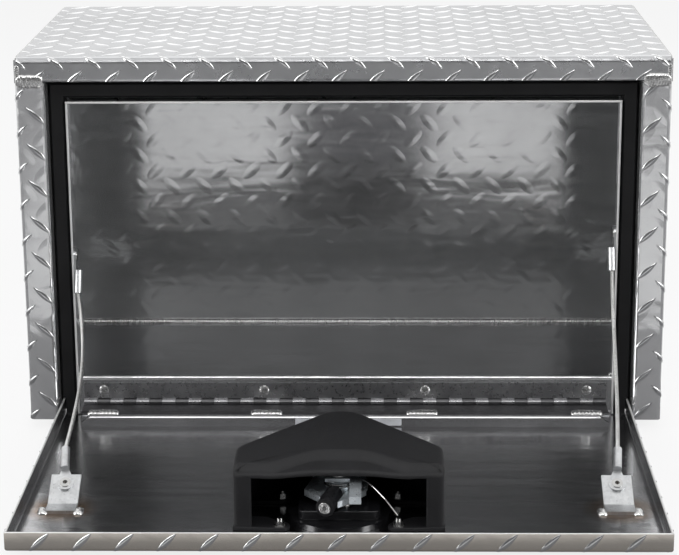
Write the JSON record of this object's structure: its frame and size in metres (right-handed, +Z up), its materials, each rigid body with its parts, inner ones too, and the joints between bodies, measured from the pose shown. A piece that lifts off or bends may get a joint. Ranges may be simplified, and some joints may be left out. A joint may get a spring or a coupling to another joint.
{
  "type": "truck tool box",
  "caption": "Underbody truck tool box in diamond tread aluminium plate, with a drop-down door on a piano hinge, wire rope stays, rubber seal and a hooded rotary latch.",
  "frame": {"origin": "centre of the box's underside, without the door; the drawn open door reaches 3 mm below it in front", "axes": "+X to the right seen from the door side, +Y to the back, +Z up; the door lies open towards -Y"},
  "size_m": [0.6096, 0.6073, 0.3651],
  "materials": {
    "tread_plate": "bright rolled diamond tread plate",
    "floor_plate": "dark mill-finish plate",
    "weld_metal": "stacked weld beads",
    "seal_rubber": "matte black sponge rubber",
    "hinge_steel": "dull grey rolled hinge",
    "fastener_steel": "bright zinc plate",
    "terminal_steel": "zinc plate, slightly worn",
    "wire_rope": "laid galvanised wire rope",
    "black_gloss": "glossy black powder coat",
    "black_texture": "fine grained black",
    "gasket_rubber": "smooth black rubber",
    "latch_steel": "blue zinc plated steel"
  },
  "bodies": {
    "box": {"top_panel": "tread_plate", "left_side_panel": "tread_plate", "right_side_panel": "tread_plate", "back_panel": "tread_plate", "floor_panel": "floor_plate", "sill_panel": "floor_plate", "top_edge_welds": "weld_metal", "frame_corner_welds": "weld_metal", "floor_seam_weld": "weld_metal", "sill_end_welds": "weld_metal", "door_seal": "seal_rubber", "hinge_fixed_leaf": "hinge_steel", "hinge_pin": "hinge_steel", "hinge_screws": "fastener_steel", "hinge_nuts": "fastener_steel", "left_upper_terminal": "terminal_steel", "right_upper_terminal": "terminal_steel", "upper_rivets": "fastener_steel", "left_cable": "wire_rope", "right_cable": "wire_rope"},
    "door": {"door_panel": "tread_plate", "door_corner_welds": "weld_metal", "hinge_rail": "tread_plate", "hinge_door_leaf": "hinge_steel", "hinge_stitch_welds": "weld_metal", "left_cable_bracket": "terminal_steel", "right_cable_bracket": "terminal_steel", "bracket_welds": "weld_metal", "lower_rivets": "fastener_steel", "left_lower_terminal": "terminal_steel", "right_lower_terminal": "terminal_steel", "latch_bezel": "black_gloss", "latch_gasket": "gasket_rubber", "latch_dish": "black_gloss", "latch_housing": "black_gloss", "latch_studs": "fastener_steel", "latch_nuts": "fastener_steel", "latch_hood": "black_texture", "bolt_guide": "latch_steel", "guide_rivets": "fastener_steel", "return_spring": "fastener_steel"},
    "latch_bolt": {"slide_bolt": "latch_steel", "follower_pin": "latch_steel"},
    "latch_rotor": {"latch_shaft": "latch_steel", "handle_hub": "latch_steel", "handle_pins": "fastener_steel", "cam_plate": "latch_steel", "pawl_hub": "latch_steel", "pawl_sleeve": "gasket_rubber", "pawl_screw": "fastener_steel", "cam_washers": "fastener_steel", "shaft_washer": "fastener_steel", "shaft_nut": "fastener_steel"},
    "handle": {"t_handle": "latch_steel"},
    "lock": {"lock_cylinder": "latch_steel"}
  },
  "joints": [
    {"name": "door_hinge", "type": "hinge", "parent": "box", "child": "door", "pos_m": [0, -0.1374, 0.0125], "axis": [-1, 0, 0], "range_deg": [0, 90], "deforming": ["left_cable", "right_cable"]},
    {"name": "latch_turn", "type": "hinge", "parent": "door", "child": "latch_rotor", "pos_m": [0, -0.3804, 0], "axis": [0, 0, 1], "range_deg": [0, 90], "deforming": ["return_spring"]},
    {"name": "bolt_slide", "type": "slide", "parent": "door", "child": "latch_bolt", "axis": [0, -1, 0], "range_m": [0, 0.018]},
    {"name": "handle_fold", "type": "hinge", "parent": "latch_rotor", "child": "handle", "pos_m": [0, -0.3804, -0.004], "axis": [-1, 0, 0], "range_deg": [0, 90]},
    {"name": "lock_turn", "type": "hinge", "parent": "latch_rotor", "child": "lock", "pos_m": [0, -0.3804, -0.006], "axis": [0, 0, 1], "range_deg": [0, 90]}
  ],
  "couplings": [
    {"joint": "bolt_slide", "follows": "latch_turn", "m_per_rad": 0.011459}
  ]
}
